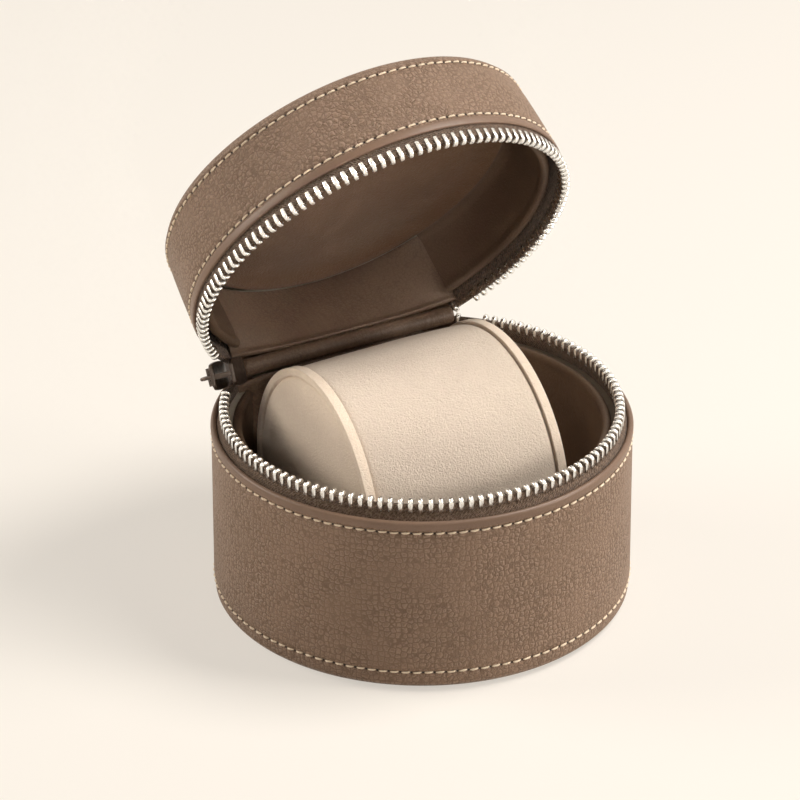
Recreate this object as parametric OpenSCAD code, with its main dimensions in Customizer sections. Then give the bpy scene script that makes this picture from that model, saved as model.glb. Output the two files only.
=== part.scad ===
// Round travel case for one watch. Base and lid are leather drums with a board
// core, joined by a soft hinge at the back (+Y) and closed by a zip around the rest.
// Millimetres, +Z up, origin at the centre of the underside. The lid stands open.
// The base's padded wall stands a little proud of the lid's.

/* [Case] */
// Outside diameter of the base
case_d = 108; // [102:1:122]
// How far the base's wall stands out beyond the lid's
lid_step = 2.2; // [0.5:0.1:3]
// Height of the base, from the underside to its rim
base_h = 49; // [44:1:60]
// Height of the lid, from its rim to its top
lid_h = 24.4; // [24:0.4:36]
// Distance between the two rims when the zip is closed
band_gap = 8.4; // [8.4:0.2:13]
// Radius of the rounded edge under the base
base_edge_r = 4; // [2.5:0.25:6]
// Radius of the rounded edge of the lid's top
lid_edge_r = 5; // [2.5:0.25:6]

/* [Layers] */
// Thickness of the leather round the lid
leather_t = 1.5; // [1.4:0.1:2.4]
// Thickness of the leather on the two ends
end_leather_t = 2.2; // [1.6:0.1:3]
// Thickness of the stiff board in the walls and ends
board_t = 1.8; // [1.2:0.1:2.4]
// Thickness of the foam between board and lining
pad_t = 1.2; // [0.8:0.1:1.8]
// Thickness of the lining leather
lining_t = 1; // [0.6:0.1:1.4]
// Thickness of the suede on the floor and in the lid
suede_t = 1.4; // [0.8:0.1:2]
// Radius of the rolled leather bead along the base's rim
bead_r = 0.8; // [0.5:0.05:1]
// How far the bead stands out of the outer leather
bead_proud = 0.2; // [0:0.05:0.4]
// Thickness of the sewing thread
thread_d = 0.6; // [0.4:0.05:0.8]
// Distance of the base's upper seam from its rim
base_seam_drop = 3.2; // [2.8:0.1:6]
// Distance of the lid's lower seam from its rim
lid_seam_drop = 3.1; // [2.8:0.1:6]
// Distance of the base's lower seam from the underside
base_end_seam = 5.6; // [4:0.1:7]
// Distance of the lid's upper seam from its top
lid_end_seam = 4.2; // [4:0.1:7]

/* [Zip] */
// Distance from one tooth to the next
tooth_pitch = 2.5; // [2.4:0.05:3]
// Width of a tooth along the tape
tooth_w = 1.1; // [0.8:0.05:1.1]
// Thickness of a tooth across the tape
tooth_d = 2.4; // [2:0.1:2.6]
// How far the tips of the closed teeth reach past each other
tooth_mesh = 1.3; // [0.8:0.1:1.6]
// How far a tooth's legs reach down the tape
tooth_leg = 1.5; // [1:0.1:1.8]
// Thickness of the woven tape
tape_t = 0.8; // [0.6:0.05:1]
// How far the tape stands out of the rim
tape_show = 2.2; // [1.8:0.1:2.4]
// How far the tape is sewn in below the rim
tape_in = 6.5; // [5:0.25:8]
// Radius of the cord woven into the tape's edge
cord_r = 0.6; // [0.5:0.05:0.7]

/* [Hinge] */
// Half of the arc that the leather hinge covers, in degrees
hinge_half = 39; // [34:0.5:44]
// How far the lid stands open, in degrees
lid_open = 58; // [20:1:75]
// How far the lid can lean back beyond that, in degrees
lid_extra = 6; // [2:1:10]
// Clearance angle left between the two folded hinge faces
fold_clear = 2; // [1:0.5:4]
// Thickness of the hinge leather
hinge_t = 1.2; // [0.8:0.1:1.6]
// Radius of the folded leather bead that the lid turns about
fold_r = 1; // [0.7:0.1:1.2]
// Clearance between the folded bead and the leather beside it
fold_gap = 0.4; // [0.3:0.05:0.8]

/* [Slider] */
// Length of the slider along the zip
slider_l = 10; // [8:0.5:11]
// Width of the slider across the zip
slider_w = 7.4; // [6.4:0.2:7.4]
// Thickness of each slider plate
plate_t = 1.1; // [0.8:0.1:1.4]
// Clearance between the teeth and the inner plate
inner_clear = 0.4; // [0.3:0.05:0.8]
// Clearance between the teeth and the outer plate, which the opened tapes lean into
outer_clear = 1.5; // [1.4:0.05:1.8]
// Length of the wedge that parts the teeth
wedge_l = 1.8; // [1.2:0.1:2.2]
// Width of the wedge
wedge_w = 3; // [2:0.1:4]
// Angle between the hinge's end and the middle of the parked slider, in degrees
park = 8; // [8:0.25:12]
// Thickness of the wire bail that holds the pull
bail_t = 1.1; // [0.9:0.1:1.2]
// Width of the bail across the zip
bail_w = 2.2; // [1.6:0.1:2.6]
// Length of the bail along the zip
bail_l = 6; // [5.4:0.1:7]

/* [Pull] */
// Length of the leather pull tab
tab_l = 20; // [14:1:26]
// Width of the leather pull tab
tab_w = 6; // [5.2:0.2:6.6]
// Thickness of the leather pull tab
tab_t = 2; // [1.8:0.1:2.6]
// Radius of the pull's hinge pin
pull_pin_r = 0.5; // [0.4:0.05:0.6]
// Clearance around the pull's hinge pin and beside the bail
pull_clear = 0.35; // [0.3:0.05:0.6]

/* [Pillow] */
// Radius of the round end of the watch pillow
pillow_r = 34.6; // [30:0.2:35]
// Length of the pillow
pillow_l = 54.4; // [50:0.4:55.2]
// Height of the pillow's axis above its flat foot
pillow_axis_h = 28; // [22:0.5:30]
// Thickness of each end cap
end_cap_t = 2.4; // [1.8:0.1:4]
// How far the suede saddle lies below the end caps
saddle_drop = 0.6; // [0.3:0.1:2]
// Thickness of the suede wrapped round the core
wrap_t = 1.2; // [0.8:0.1:2]
// Depth of the hollow in each end cap's face
cap_recess = 0.6; // [0.3:0.1:1.2]
// Width of the rounded lip around that hollow
cap_lip_w = 3.4; // [2:0.1:5]
// How far the pillow sits towards the left of the case
pillow_shift = 3.6; // [0:0.2:3.6]
// Clearance under the pillow
pillow_gap = 0.3; // [0.3:0.05:0.8]

/* [Hidden] */
$fn = 96;
eps = 0.01;
case_r = case_d / 2;
lid_r = case_r - lid_step;
total_h = base_h + band_gap + lid_h;

// The layers of the wall, from the outside in.
board_out = lid_r - leather_t;
pad_out = board_out - board_t;
lining_out = pad_out - pad_t;
lining_in = lining_out - lining_t;
tape_r = board_out + tape_t / 2;
roll_r = (pad_out - lining_in) / 2;
roll_mid = (pad_out + lining_in) / 2;
floor_board_z = end_leather_t;
floor_suede_z = end_leather_t + board_t;
floor_top = floor_suede_z + suede_t;
wall_top_drop = 1.2;
bead_h = 2;
lid_bead_r = (lid_r + bead_proud - board_out - tape_t) / 2;
over = 1;

// The hinge line runs along X, on the straight chord between the zip's two ends.
axis_y = tape_r * cos(hinge_half);
axis_z = base_h + band_gap / 2;
fold_slope = (lid_open + lid_extra + fold_clear) / 2;
notch_side = 1;
function notch_y(depth) = axis_y
    + (band_gap / 2 + depth - hinge_t / cos(fold_slope)) / tan(fold_slope);
fold_inset = 2;
panel_gap = 0.1;
fold_half_l = lining_in * sin(hinge_half) - fold_inset;
panel_steps = 12;
far = 2 * case_d;

// The slider's ring and places along the zip. Angles count from the back.
tooth_out = tape_r + tooth_d / 2;
tooth_in = tape_r - tooth_d / 2;
inner_plate_r = tooth_in - inner_clear;
outer_plate_r = tooth_out + outer_clear;
slider_half = slider_l / 2 / tape_r * 180 / PI;
slider_from = hinge_half + park;
wedge_turn = wedge_l / tape_r * 180 / PI;
tooth_step = tooth_pitch / tape_r * 180 / PI;
first_tooth = slider_from + slider_half + tooth_step / 2;
last_tooth = slider_from - slider_half + wedge_turn + tooth_step / 2;
tooth_count = floor((360 - first_tooth - last_tooth) / tooth_step + 0.5);
tooth_h = band_gap / 2 - tape_show + tooth_leg + tooth_mesh / 2;
stop_l = 1.2;
stop_h = 2;
stop_inset = 1.3;
stop_at = hinge_half + stop_inset;

// The pull hangs on the slider's bail.
pull_lift = 1;
pin_r = outer_plate_r + plate_t + pull_clear + pull_pin_r + pull_lift;
bail_top = pin_r + pull_pin_r + pull_clear;
arm_w = 1;
arm_in = bail_w / 2 + pull_clear;
link_l = bail_l / 2 + bail_t + pull_clear;
link_grip = 3;

// The pillow stands on the floor of the base.
pillow_axis_z = floor_top + pillow_gap + pillow_axis_h;
saddle_r = pillow_r - saddle_drop;
core_r = saddle_r - wrap_t;
foot_wrap = wrap_t;

// Turns what is drawn about the hinge line, as the lid opens.
module opened(angle) {
    translate([0, axis_y, axis_z]) rotate([-angle, 0, 0]) translate([0, -axis_y, -axis_z])
        children();
}

// Both drums are drawn as a cup that stands on z = 0. The lid's cup is turned over.
module as_lid() {
    opened(lid_open) translate([0, 0, total_h]) mirror([0, 0, 1]) children();
}

// The part of a cup's rim that the hinge folds down over, drop below the folding face.
module fold_notch(rim, drop) {
    translate([0, axis_y, rim + band_gap / 2]) rotate([-fold_slope, 0, 0])
        translate([-far / 2, 0, -drop]) cube([far, far, far]);
}

// A profile turned about the case's axis, all round but for the hinge.
module around_zip() {
    rotate([0, 0, 90 + hinge_half]) rotate_extrude(angle = 360 - 2 * hinge_half) children();
}

module ring(r_in, r_out, from, to) {
    difference() {
        translate([0, 0, from]) cylinder(r = r_out, h = to - from);
        translate([0, 0, from - over]) cylinder(r = r_in, h = to - from + 2 * over);
    }
}

// ---- outer leather ----

module sleeve(rim, wall_r, edge_r, rim_drop, end_seam) {
    top = rim - bead_h;
    difference() {
        rotate_extrude() difference() {
            union() {
                square([wall_r - edge_r, edge_r]);
                translate([0, edge_r]) square([wall_r, top - edge_r]);
                translate([wall_r - edge_r, edge_r]) circle(r = edge_r);
            }
            translate([-over, -over]) square([wall_r - edge_r + over, end_leather_t + over]);
            translate([-over, end_leather_t]) square([board_out + over, rim]);
            translate([board_out, rim - tape_in]) square([tape_t, rim]);
            translate([wall_r - thread_d / 2, rim - rim_drop - thread_d / 2])
                square([thread_d, thread_d]);
            translate([wall_r, end_seam]) circle(d = thread_d);
        }
        fold_notch(rim, hinge_t);
    }
}

module end_leather(wall_r, edge_r) {
    cylinder(r = wall_r - edge_r, h = end_leather_t);
}

// A profile turned about the case's axis, all round but for the notch in a wall of radius
// wall_r, at height depth below the rim.
module around_notch(wall_r, depth) {
    half = acos(min(1, notch_y(depth) / wall_r)) + notch_side;
    rotate([0, 0, 90 + half]) rotate_extrude(angle = 360 - 2 * half) children();
}

// The bead stops on both sides of the notch behind the hinge.
module rim_bead(rim, wall_r, r) {
    around_notch(wall_r, 0) translate([wall_r + bead_proud - r, rim - r]) {
        circle(r = r);
        translate([-r, r - bead_h]) square([2 * r, bead_h - r]);
    }
}

module rim_seam(rim, wall_r, drop) {
    around_notch(wall_r, drop) translate([wall_r, rim - drop]) circle(d = thread_d);
}

module end_seam(wall_r, height) {
    rotate_extrude() translate([wall_r, height]) circle(d = thread_d);
}

// ---- boards, foam and lining ----

module wall_board(rim) {
    difference() {
        ring(pad_out, board_out, floor_suede_z, rim - wall_top_drop);
        fold_notch(rim, hinge_t);
    }
}

module end_board() {
    translate([0, 0, floor_board_z]) cylinder(r = board_out, h = board_t);
}

module wall_foam(rim) {
    around_zip() translate([lining_out, floor_suede_z])
        square([pad_t, rim - roll_r - floor_suede_z]);
}

module wall_lining(rim) {
    around_zip() translate([lining_in, floor_suede_z])
        square([lining_t, rim - roll_r - floor_suede_z]);
}

module lining_roll(rim) {
    around_zip() intersection() {
        translate([roll_mid, rim - roll_r]) circle(r = roll_r);
        translate([lining_in, rim - roll_r]) square([2 * roll_r, roll_r]);
    }
}

module end_suede() {
    translate([0, 0, floor_suede_z]) cylinder(r = lining_in, h = suede_t);
}

// ---- zip ----

module zip_tape(rim) {
    around_zip() {
        translate([board_out, rim - tape_in]) square([tape_t, tape_in + tape_show - cord_r]);
        translate([tape_r, rim + tape_show - cord_r]) circle(r = cord_r);
    }
}

module tooth(rim) {
    translate([tape_r, 0, rim + tape_show - tooth_leg]) difference() {
        translate([-tooth_d / 2, -tooth_w / 2, 0]) cube([tooth_d, tooth_w, tooth_h]);
        translate([-cord_r, -tooth_w, -over])
            cube([2 * cord_r, 2 * tooth_w, tooth_leg + over]);
    }
}

module zip_teeth(rim, phase) {
    for (i = [0 : tooth_count - 1])
        rotate([0, 0, 90 + first_tooth + (i + phase) * tooth_step]) tooth(rim);
}

module zip_stops(rim) {
    for (side = [-1, 1])
        rotate([0, 0, 90 + side * stop_at]) difference() {
            translate([tooth_in, -stop_l / 2, rim + tape_show - tooth_leg])
                cube([tooth_d, stop_l, stop_h]);
            translate([tape_r - cord_r, -stop_l, rim])
                cube([2 * cord_r, 2 * stop_l, tape_show]);
        }
}

// ---- hinge ----

// Sewn in where the tape leaves off, then folded inwards to the hinge line.
module hinge_collar(rim) {
    difference() {
        union() {
            rotate([0, 0, 90 - hinge_half]) rotate_extrude(angle = 2 * hinge_half)
                translate([board_out, rim - tape_in]) square([tape_t, tape_in + band_gap / 2]);
            intersection() {
                translate([0, axis_y, rim + band_gap / 2]) rotate([-fold_slope, 0, 0])
                    translate([-far / 2, fold_r + fold_gap, -hinge_t]) cube([far, far, hinge_t]);
                cylinder(r = board_out + eps, h = far);
            }
        }
        fold_notch(rim, 0);
        translate([-far / 2, -far, rim]) cube([far, far + axis_y + fold_r + fold_gap, far]);
    }
}

// One column of the panel: hinge line above, the end's rim below.
function panel_column(i, rim, back) =
    let (a = hinge_half * (2 * i / panel_steps - 1), r = lining_in - panel_gap - hinge_t)
    [[fold_half_l * (2 * i / panel_steps - 1), axis_y - hinge_t / 2 + back,
        rim + band_gap / 2 - fold_r - fold_gap],
     [r * sin(a), r * cos(a) + back, floor_top + eps]];

// The lining leather that runs from the hinge line to the floor of a cup.
module hinge_panel(rim) {
    n = panel_steps;
    front = [for (i = [0 : n]) each panel_column(i, rim, 0)];
    rear = [for (i = [0 : n]) each panel_column(i, rim, hinge_t)];
    m = 2 * (n + 1);
    sheet = [for (i = [0 : n - 1]) let (k = 2 * i)
        each [[k, k + 2, k + 3], [k, k + 3, k + 1],
            [m + k, m + k + 3, m + k + 2], [m + k, m + k + 1, m + k + 3],
            [k, m + k, m + k + 2], [k, m + k + 2, k + 2],
            [k + 1, k + 3, m + k + 3], [k + 1, m + k + 3, m + k + 1]]];
    ends = [[0, 1, m + 1], [0, m + 1, m], [m - 2, 2 * m - 2, 2 * m - 1], [m - 2, 2 * m - 1, m - 1]];
    polyhedron(points = concat(front, rear), faces = concat(sheet, ends));
}

module hinge_fold() {
    color("#5a4b3e") opened(lid_open / 2)
        translate([-fold_half_l, axis_y, axis_z]) rotate([0, 90, 0])
            cylinder(r = fold_r, h = 2 * fold_half_l);
}

// ---- base ----

module base_outer_leather() { color("#7d6755")
    sleeve(base_h, case_r, base_edge_r, base_seam_drop, base_end_seam); }
module base_bottom_leather() { color("#7d6755") end_leather(case_r, base_edge_r); }
module base_wall_board() { color("#b9a888") wall_board(base_h); }
module base_floor_board() { color("#b9a888") end_board(); }
module base_wall_foam() { color("#d8d2c4") wall_foam(base_h); }
module base_lining() { color("#372a1e") wall_lining(base_h); }
module base_lining_roll() { color("#3f3023") lining_roll(base_h); }
module base_floor_suede() { color("#503f30") end_suede(); }
module base_rim_bead() { color("#87705d") rim_bead(base_h, case_r, bead_r); }
module base_rim_seam() { color("#ebd7b9") rim_seam(base_h, case_r, base_seam_drop); }
module base_bottom_seam() { color("#ebd7b9") end_seam(case_r, base_end_seam); }
module base_zip_tape() { color("#3a2e26") zip_tape(base_h); }
module base_zip_teeth() { color("#c9c9c6") zip_teeth(base_h, 0); }
module base_zip_stops() { color("#c9c9c6") zip_stops(base_h); }
module base_hinge_collar() { color("#6b5747") hinge_collar(base_h); }
module base_hinge_panel() { color("#5a4b3e") hinge_panel(base_h); }

// ---- lid ----

module lid_outer_leather() { color("#8a735f") as_lid()
    sleeve(lid_h, lid_r, lid_edge_r, lid_seam_drop, lid_end_seam); }
module lid_top_leather() { color("#8a735f") as_lid() end_leather(lid_r, lid_edge_r); }
module lid_wall_board() { color("#b9a888") as_lid() wall_board(lid_h); }
module lid_top_board() { color("#b9a888") as_lid() end_board(); }
module lid_wall_foam() { color("#d8d2c4") as_lid() wall_foam(lid_h); }
module lid_lining() { color("#372a1e") as_lid() wall_lining(lid_h); }
module lid_lining_roll() { color("#3f3023") as_lid() lining_roll(lid_h); }
module lid_suede_disc() { color("#503f30") as_lid() end_suede(); }
module lid_rim_bead() { color("#87705d") as_lid() rim_bead(lid_h, lid_r, lid_bead_r); }
module lid_rim_seam() { color("#ebd7b9") as_lid() rim_seam(lid_h, lid_r, lid_seam_drop); }
module lid_top_seam() { color("#ebd7b9") as_lid() end_seam(lid_r, lid_end_seam); }
module lid_zip_tape() { color("#3a2e26") as_lid() zip_tape(lid_h); }
module lid_zip_teeth() { color("#c9c9c6") as_lid() zip_teeth(lid_h, 0.5); }
module lid_zip_stops() { color("#c9c9c6") as_lid() zip_stops(lid_h); }
module lid_hinge_collar() { color("#6b5747") as_lid() hinge_collar(lid_h); }
module lid_hinge_panel() { color("#5a4b3e") as_lid() hinge_panel(lid_h); }

// ---- slider and pull ----

// Drawn beside the hinge's left end, on the ring midway between the two rims.
module on_slider() {
    opened(lid_open / 2) rotate([0, 0, 90 + slider_from]) translate([0, 0, axis_z]) children();
}

module plate(r_from) {
    rotate([0, 0, -slider_half]) rotate_extrude(angle = 2 * slider_half)
        translate([r_from, -slider_w / 2]) square([plate_t, slider_w]);
}

module slider_body() {
    color("#4a4038") on_slider() {
        plate(inner_plate_r - plate_t);
        plate(outer_plate_r);
        rotate([0, 0, slider_half - wedge_turn]) rotate_extrude(angle = wedge_turn)
            translate([inner_plate_r - eps, -wedge_w / 2])
                square([outer_plate_r - inner_plate_r + 2 * eps, wedge_w]);
    }
}

module slider_bail() {
    foot = outer_plate_r + plate_t;
    sag = foot - sqrt(foot * foot - bail_l * bail_l / 4);
    color("#4a4038") on_slider() difference() {
        translate([foot - sag, -bail_l / 2, -bail_w / 2])
            cube([bail_top + bail_t - foot + sag, bail_l, bail_w]);
        translate([0, -bail_l / 2 + bail_t, -bail_w])
            cube([bail_top, bail_l - 2 * bail_t, 2 * bail_w]);
        translate([0, 0, -bail_w]) cylinder(r = foot, h = 2 * bail_w);
    }
}

// The pull lies back along the zip, towards the hinge.
module pull_link() {
    color("#4a4038") on_slider() translate([pin_r, 0, 0]) {
        translate([0, 0, -arm_in - arm_w]) cylinder(r = pull_pin_r, h = 2 * (arm_in + arm_w));
        for (side = [-1, 1])
            translate([-pull_pin_r, -link_l - link_grip, side * (arm_in + arm_w / 2) - arm_w / 2])
                cube([2 * pull_pin_r, link_l + link_grip, arm_w]);
        translate([-pull_pin_r, -link_l - arm_w, -arm_in - eps])
            cube([2 * pull_pin_r, arm_w, 2 * (arm_in + eps)]);
    }
}

module pull_tab() {
    far_end = link_l + arm_w + pull_clear + tab_l;
    color("#7d6755") on_slider() translate([pin_r, 0, 0]) difference() {
        union() {
            translate([-tab_t / 2, -far_end + tab_w / 2, -tab_w / 2])
                cube([tab_t, tab_l - tab_w / 2, tab_w]);
            translate([-tab_t / 2, -far_end + tab_w / 2, 0]) rotate([0, 90, 0])
                cylinder(d = tab_w, h = tab_t);
        }
        for (side = [-1, 1])
            translate([-pull_pin_r, -link_l - link_grip, side * (arm_in + arm_w / 2) - arm_w / 2])
                cube([2 * pull_pin_r, link_l + link_grip, arm_w]);
    }
}

// ---- watch pillow ----

// Solid drum along X between two places, with its flat foot at foot_z.
module drum(r, from, to, foot_z) {
    difference() {
        translate([from - pillow_shift, 0, pillow_axis_z]) rotate([0, 90, 0])
            cylinder(r = r, h = to - from);
        translate([-far / 2, -far / 2, foot_z - far]) cube([far, far, far]);
    }
}

module pillow_core() {
    half = pillow_l / 2 - end_cap_t;
    color("#e6e0d2") drum(core_r, -half, half, floor_top + pillow_gap + foot_wrap);
}

module pillow_wrap() {
    half = pillow_l / 2 - end_cap_t;
    color("#e1d0b9") difference() {
        drum(saddle_r, -half, half, floor_top + pillow_gap);
        drum(core_r, -half - over, half + over, floor_top + pillow_gap + foot_wrap);
    }
}

// A suede-covered disc with a rounded lip and a shallow hollow in its outer face.
module end_cap() {
    lip_r = end_cap_t / 2;
    difference() {
        translate([0, 0, pillow_axis_z]) rotate([0, 90, 0]) rotate_extrude() difference() {
            union() {
                square([pillow_r - lip_r, end_cap_t]);
                translate([pillow_r - lip_r, lip_r]) circle(r = lip_r, $fn = 12);
            }
            translate([-over, end_cap_t - cap_recess])
                square([pillow_r - cap_lip_w + over, cap_recess + over]);
            translate([-far, 0]) square([far, far]);
        }
        translate([-far / 2, -far / 2, floor_top + pillow_gap - far]) cube([far, far, far]);
    }
}

module pillow_left_end() {
    color("#bea891") translate([-pillow_shift - pillow_l / 2 + end_cap_t, 0, 0])
        mirror([1, 0, 0]) end_cap();
}

module pillow_right_end() {
    color("#bea891") translate([-pillow_shift + pillow_l / 2 - end_cap_t, 0, 0]) end_cap();
}

base_outer_leather();
base_bottom_leather();
base_wall_board();
base_floor_board();
base_wall_foam();
base_lining();
base_lining_roll();
base_floor_suede();
base_rim_bead();
base_rim_seam();
base_bottom_seam();
base_zip_tape();
base_zip_teeth();
base_zip_stops();
base_hinge_collar();
base_hinge_panel();
hinge_fold();
lid_outer_leather();
lid_top_leather();
lid_wall_board();
lid_top_board();
lid_wall_foam();
lid_lining();
lid_lining_roll();
lid_suede_disc();
lid_rim_bead();
lid_rim_seam();
lid_top_seam();
lid_zip_tape();
lid_zip_teeth();
lid_zip_stops();
lid_hinge_collar();
lid_hinge_panel();
slider_body();
slider_bail();
pull_link();
pull_tab();
pillow_core();
pillow_wrap();
pillow_left_end();
pillow_right_end();
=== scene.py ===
import math

import bmesh
import bpy
from mathutils import Matrix, Vector, noise


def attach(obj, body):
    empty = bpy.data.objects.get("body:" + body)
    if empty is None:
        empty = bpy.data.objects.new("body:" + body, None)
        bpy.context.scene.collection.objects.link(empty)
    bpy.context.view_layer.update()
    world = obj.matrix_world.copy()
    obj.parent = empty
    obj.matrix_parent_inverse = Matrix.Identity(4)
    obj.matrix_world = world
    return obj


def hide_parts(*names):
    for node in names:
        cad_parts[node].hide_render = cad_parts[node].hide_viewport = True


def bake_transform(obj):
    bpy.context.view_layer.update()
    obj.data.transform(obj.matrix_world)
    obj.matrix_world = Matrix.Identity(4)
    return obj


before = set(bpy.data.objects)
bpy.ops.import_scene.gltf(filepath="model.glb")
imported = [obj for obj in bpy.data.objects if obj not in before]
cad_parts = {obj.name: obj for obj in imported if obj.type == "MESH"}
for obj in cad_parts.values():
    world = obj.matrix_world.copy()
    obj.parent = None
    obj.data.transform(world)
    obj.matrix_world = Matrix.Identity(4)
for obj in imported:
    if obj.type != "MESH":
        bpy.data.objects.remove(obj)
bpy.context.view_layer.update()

bpy.ops.object.select_all(action="DESELECT")
bpy.context.tool_settings.mesh_select_mode = (True, False, False)


# ---------------------------------------------------------------------------
# The studio. A pale paper floor, one large soft lamp high on the right, a
# weaker one low on the left, a little fill in front and on the right, and a small lamp
# with a grid that reaches into the open lid. Lengths are in metres.
MM = 0.001


def srgb(red, green, blue):
    """A colour given as 0 to 255, as the shader's own linear numbers."""
    def linear(c):
        c = c / 255
        return c / 12.92 if c <= 0.04045 else ((c + 0.055) / 1.055) ** 2.4
    return linear(red), linear(green), linear(blue), 1


def node(tree, kind, links=None, **settings):
    """Adds a node to a material or group; links go to its inputs by name or number."""
    made = tree.nodes.new(kind)
    for key, value in settings.items():
        setattr(made, key, value)
    for key, value in (links or {}).items():
        if isinstance(value, bpy.types.NodeSocket):
            tree.links.new(value, made.inputs[key])
        else:
            made.inputs[key].default_value = value
    return made


look = Vector((0, 0, 45)) * MM
turn_to, tilt_to = math.radians(-29.5), math.radians(28.8)
back = Vector((math.sin(turn_to) * math.cos(tilt_to), -math.cos(turn_to) * math.cos(tilt_to),
               math.sin(tilt_to)))
lens = bpy.data.cameras.new("camera")
lens.sensor_width, lens.lens = 36, 245.6
lens.shift_x, lens.shift_y = -0.0275, 0.0398
lens.clip_start, lens.clip_end = 0.1, 20
camera = bpy.data.objects.new("camera", lens)
bpy.context.scene.collection.objects.link(camera)
camera.location = look + back * 1.4
camera.rotation_mode = "QUATERNION"
camera.rotation_quaternion = (-back).to_track_quat("-Z", "Y")
bpy.context.scene.camera = camera

across = Vector((math.cos(turn_to), math.sin(turn_to), 0))
away = Vector((-math.sin(turn_to), math.cos(turn_to), 0))
in_the_lid = Vector((0, 42, 84)) * MM
for name, right, behind, up, size, power, spread, aim in (
    ("key lamp", 0.60, 0.08, 0.92, 0.58, 11.7, 180, look),
    ("left lamp", -0.92, 0.12, 0.44, 0.60, 5.8, 180, look),
    ("front fill", -0.05, -1.10, 0.55, 0.80, 0.9, 180, look),
    ("right lamp", 1.00, -0.22, 0.30, 0.30, 4.5, 180, look),
    ("lamp with a grid", 0.05, -0.95, 0.40, 0.10, 0.009, 7, in_the_lid),
):
    lamp = bpy.data.lights.new(name, "AREA")
    lamp.shape, lamp.size, lamp.energy = "DISK", size, power
    lamp.spread = math.radians(spread)
    lamp.color = (1.0, 0.94, 0.86) if name == "left lamp" else (1.0, 0.965, 0.925)
    held = bpy.data.objects.new(name, lamp)
    bpy.context.scene.collection.objects.link(held)
    held.location = look + across * right + away * behind + Vector((0, 0, up))
    held.rotation_mode = "QUATERNION"
    held.rotation_quaternion = (aim - held.location).to_track_quat("-Z", "Y")

PAPER = srgb(252, 245, 235)
AIR_LIGHT = 0.07
GLOW_SHARE = 0.56


def seen(tree):
    """1 for what the camera sees, straight or mirrored or through glass, and 0 for light."""
    ray = node(tree, "ShaderNodeLightPath").outputs
    bent = node(tree, "ShaderNodeMath", {0: ray["Is Glossy Ray"], 1: ray["Is Transmission Ray"]},
                operation="MAXIMUM")
    return node(tree, "ShaderNodeMath", {0: ray["Is Camera Ray"], 1: bent.outputs[0]},
                operation="MAXIMUM").outputs[0]


world = bpy.data.worlds.new("studio air")
world.use_nodes = True
world.node_tree.nodes.clear()
air = node(world.node_tree, "ShaderNodeBackground", {"Color": srgb(246, 241, 234),
           "Strength": AIR_LIGHT})
paper = node(world.node_tree, "ShaderNodeBackground", {"Color": PAPER, "Strength": 1})
either = node(world.node_tree, "ShaderNodeMixShader", {0: seen(world.node_tree),
              1: air.outputs[0], 2: paper.outputs[0]})
node(world.node_tree, "ShaderNodeOutputWorld", {0: either.outputs[0]})
bpy.context.scene.world = world
bpy.context.scene.view_settings.view_transform = "Standard"

bpy.ops.mesh.primitive_plane_add(size=6)
floor = bpy.context.object
floor.name = "floor"
paint = bpy.data.materials.new("floor paper")
paint.use_nodes = True
paint.node_tree.nodes.clear()
lit = node(paint.node_tree, "ShaderNodeBsdfDiffuse", {"Color": srgb(246, 239, 229)})
glow = node(paint.node_tree, "ShaderNodeEmission", {"Color": PAPER, "Strength": 1})
share = node(paint.node_tree, "ShaderNodeMath", {0: seen(paint.node_tree), 1: GLOW_SHARE},
             operation="MULTIPLY")
blended = node(paint.node_tree, "ShaderNodeMixShader", {0: share.outputs[0], 1: lit.outputs[0],
               2: glow.outputs[0]})
node(paint.node_tree, "ShaderNodeOutputMaterial", {0: blended.outputs[0]})
floor.data.materials.append(paint)


# ---------------------------------------------------------------------------
# The two outer walls, base and lid. Each is a strip of pebbled cowhide glued
# over a stiff board drum and turned in at the closed end; a low notch at the
# back lets the lid lean back. Drawn as a turner's outline and spun.
TOTAL_H = 81.8
HINGE_Y, HINGE_Z = 39.4013, 53.2
FOLD_SLOPE, LID_OPEN = 33.0, 58.0
HINGE_LEATHER = 1.2
OPEN_AT_REST = {"base": 0, "pillow": 0, "lid": LID_OPEN, "hinge_fold": LID_OPEN / 2,
                "slider": LID_OPEN / 2, "pull": LID_OPEN / 2}
# Each cup: the wall's radius, the height of its rim, the radius of its turned edge, the heights
# of its two seams, and the stitches that one seam has room for.
CUPS = {"base": dict(wall=54.0, rim=49.0, edge=4.0, low_seam=5.6, seam=45.8, stitches=117),
        "lid": dict(wall=51.8, rim=24.4, edge=5.0, low_seam=4.2, seam=21.3, stitches=112)}


def wall_at(part, z):
    """The wall's radius at a height above the closed end; the lid draws in a little to its top."""
    size = CUPS[part]
    drawn_in = 1.7 if part == "lid" else 0.0
    return size["wall"] - drawn_in * max(0.0, (size["rim"] - z) / size["rim"]) ** 1.6


def arc(r, z, radius, begin, end, steps):
    """Points of an arc in the outline's plane, angles in degrees from straight out."""
    turns = [math.radians(begin + (end - begin) * i / steps) for i in range(steps + 1)]
    return [(r + radius * math.cos(t), z + radius * math.sin(t)) for t in turns]


def named(name):
    """Names the piece just made, and its mesh."""
    made = bpy.context.object
    made.name = made.data.name = name
    return made


def chosen(*pieces):
    """Selects these pieces and no others; the first is the active one."""
    bpy.ops.object.select_all(action="DESELECT")
    for piece in pieces:
        piece.select_set(True)
    bpy.context.view_layer.objects.active = pieces[0]


def edit_all():
    """Opens the active piece for editing with all of it selected."""
    bpy.ops.object.mode_set(mode="EDIT")
    bpy.ops.mesh.select_all(action="SELECT")


def faced_out():
    """Turns every face of the piece being edited outwards and ends the editing."""
    bpy.ops.mesh.select_all(action="SELECT")
    bpy.ops.mesh.normals_make_consistent(inside=False)
    bpy.ops.object.mode_set(mode="OBJECT")


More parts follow.
